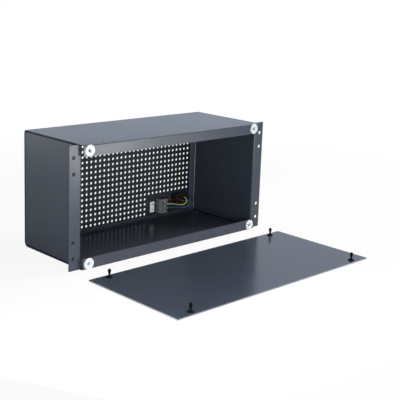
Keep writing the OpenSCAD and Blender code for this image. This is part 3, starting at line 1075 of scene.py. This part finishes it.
@dataclass
class Studio:
    """White floor and background, soft lamps, and the camera."""

    fill: float = 0.1
    cool: Colour = (0.75, 0.84, 0.97)
    paper: Colour = (0.86, 0.86, 0.86)
    floor_side: float = 16.0
    white_near: float = 0.9
    gloss_near: float = 0.1
    fade_start: float = 0.45
    fade_end: float = 1.3
    camera_place: Point = (-1.079201, -1.256989, 0.498883)
    camera_turn: float = 0.774
    camera_tilt: float = 0.203
    camera_roll: float = 0.037
    focal_pixels: float = 867.472
    frame_pixels: float = 400.0
    sensor: float = 36.0
    shift_up: float = -0.1
    nearest_seen: float = 0.02
    farthest_seen: float = 60.0
    lamps: tuple[Lamp, ...] = (
        Lamp("overhead_softbox", (0.75, -0.25, 1.1), (0.0, -0.1, 0.15), 0.6, 0.6, 12.5),
        Lamp("top_front_softbox", (0.0, -0.85, 1.2), (0.0, -0.15, 0.1), 0.8, 0.8, 2.0),
        Lamp("rear_softbox", (-0.3, 1.2, 0.75), (0.0, 0.0, 0.1), 0.7, 0.7, 4.0),
        Lamp("low_front_strip", (0.33, -0.85, 0.05), (-0.2, -0.09, 0.2), 0.3, 0.08, 2.6),
        Lamp("low_right_strip", (0.62, -0.85, 0.05), (0.0, -0.09, 0.2), 0.3, 0.08, 0.6),
        Lamp("low_left_strip", (-0.5, -0.45, 0.08), (0.22, -0.09, 0.11), 0.2, 0.1, 1.95, mirrored=False),
        Lamp("low_rear_panel", (-0.8, 0.7, 0.2), (-0.22, 0.0, 0.15), 0.5, 0.35, 1.0),
        Lamp("cover_front_panel", (-0.12, -0.5, 0.18), (-0.12, -0.47, 0.0), 0.36, 0.1, 0.4, mirrored=False),
    )

    def build(self) -> None:
        """Makes the world, the floor, the lamps and the camera."""
        self.world()
        self.floor()
        for lamp in self.lamps:
            lamp.build()
            LOG.info("%s", lamp.name)
        self.camera()
        bpy.context.scene.view_settings.view_transform = "Standard"

    def direct(self, graph: Graph) -> Value:
        """Gives 1 for the rays that see the background itself, and 0 for the rest.

        Args:
            graph: The graph that uses the mask.

        Returns:
            The mask.
        """
        path = graph.add("ShaderNodeLightPath", {}, {})
        seen = Value(graph, path.outputs[Ray.CAMERA.value])
        through = Value(graph, path.outputs[Ray.TRANSMISSION.value])
        return (seen + through) > 0.5

    def mirrored(self, graph: Graph) -> Value:
        """Gives 1 for the rays that see the background in a glossy surface, and 0 for the rest."""
        path = graph.add("ShaderNodeLightPath", {}, {})
        return Value(graph, path.outputs[Ray.GLOSSY.value]) > 0.5

    def world(self) -> None:
        """Makes a world that looks white and lights the part softly, with a cool cast."""
        world = bpy.data.worlds.new("white_studio")
        world.use_nodes = True
        graph = Graph(world.node_tree)
        light = graph.add("ShaderNodeBackground", {}, {"Color": self.cool, "Strength": self.fill})
        gloss = graph.add("ShaderNodeBackground", {}, {"Color": self.cool, "Strength": 1.0})
        white = graph.add("ShaderNodeBackground", {}, {"Color": WHITE, "Strength": 1.0})
        soft = graph.add(
            "ShaderNodeMixShader", {}, {0: self.mirrored(graph), 1: light.outputs[0], 2: gloss.outputs[0]}
        )
        mixed = graph.add(
            "ShaderNodeMixShader", {}, {0: self.direct(graph), 1: soft.outputs[0], 2: white.outputs[0]}
        )
        graph.add("ShaderNodeOutputWorld", {}, {"Surface": mixed.outputs[0]})
        bpy.context.scene.world = world

    def paint_floor(self) -> bpy.types.Material:
        """Makes the floor's material: paper that takes a shadow near the part, and white light far from it.

        Returns:
            The material.
        """
        material = bpy.data.materials.new("studio_floor")
        material.use_nodes = True
        graph = Graph(material.node_tree)
        reach = graph.add("ShaderNodeVectorMath", {"operation": "LENGTH"}, {0: graph.place()})
        far = Value(graph, reach.outputs["Value"]).fade(self.fade_start, self.fade_end)
        paper = graph.add("ShaderNodeBsdfDiffuse", {}, {"Color": self.paper})
        cast = graph.blend(self.direct(graph), self.cool, WHITE)
        glow = graph.add("ShaderNodeEmission", {}, {"Color": cast, "Strength": 1.0})
        plain = self.direct(graph) * (self.white_near + (1.0 - self.white_near) * far)
        share = plain + self.mirrored(graph) * (self.gloss_near + (1.0 - self.gloss_near) * far)
        mixed = graph.add("ShaderNodeMixShader", {}, {0: share, 1: paper.outputs[0], 2: glow.outputs[0]})
        graph.add("ShaderNodeOutputMaterial", {}, {"Surface": mixed.outputs[0]})
        return material

    def floor(self) -> None:
        """Makes the floor under the part."""
        half = self.floor_side / 2
        spots = [(-half, -half, 0.0), (half, -half, 0.0), (half, half, 0.0), (-half, half, 0.0)]
        mesh = bpy.data.meshes.new("studio_floor")
        mesh.from_pydata(spots, [], [(0, 1, 2, 3)])
        mesh.materials.append(self.paint_floor())
        floor = bpy.data.objects.new("studio_floor", mesh)
        bpy.context.scene.collection.objects.link(floor)

    def camera(self) -> None:
        """Sets up the camera at the photograph's angle."""
        turn, tilt, roll = self.camera_turn, self.camera_tilt, self.camera_roll
        ahead = Vector((math.sin(turn) * math.cos(tilt), math.cos(turn) * math.cos(tilt), -math.sin(tilt)))
        right = Vector((math.cos(turn), -math.sin(turn), 0.0))
        up = right.cross(ahead)
        across = math.cos(roll) * right + math.sin(roll) * up
        upward = math.cos(roll) * up - math.sin(roll) * right
        data = bpy.data.cameras.new("photo_camera")
        data.sensor_width = self.sensor
        data.lens = self.sensor * self.focal_pixels / self.frame_pixels
        data.shift_y = self.shift_up
        data.clip_start = self.nearest_seen
        data.clip_end = self.farthest_seen
        camera = bpy.data.objects.new("photo_camera", data)
        columns = Matrix((across, upward, -ahead)).transposed()
        camera.matrix_world = Matrix.Translation(self.camera_place) @ columns.to_4x4()
        bpy.context.scene.collection.objects.link(camera)
        bpy.context.scene.camera = camera


def main() -> None:
    """Builds the sub-assemblies in order, then the studio."""
    logging.basicConfig(level=logging.INFO, format="%(name)s: %(message)s", stream=sys.stdout)
    for part in (SheetCase(), FrontCover(), MainsParts(), WireLoom(), Studio()):
        LOG.info("building %s", type(part).__name__)
        part.build()


if __name__ == "__main__":
    main()
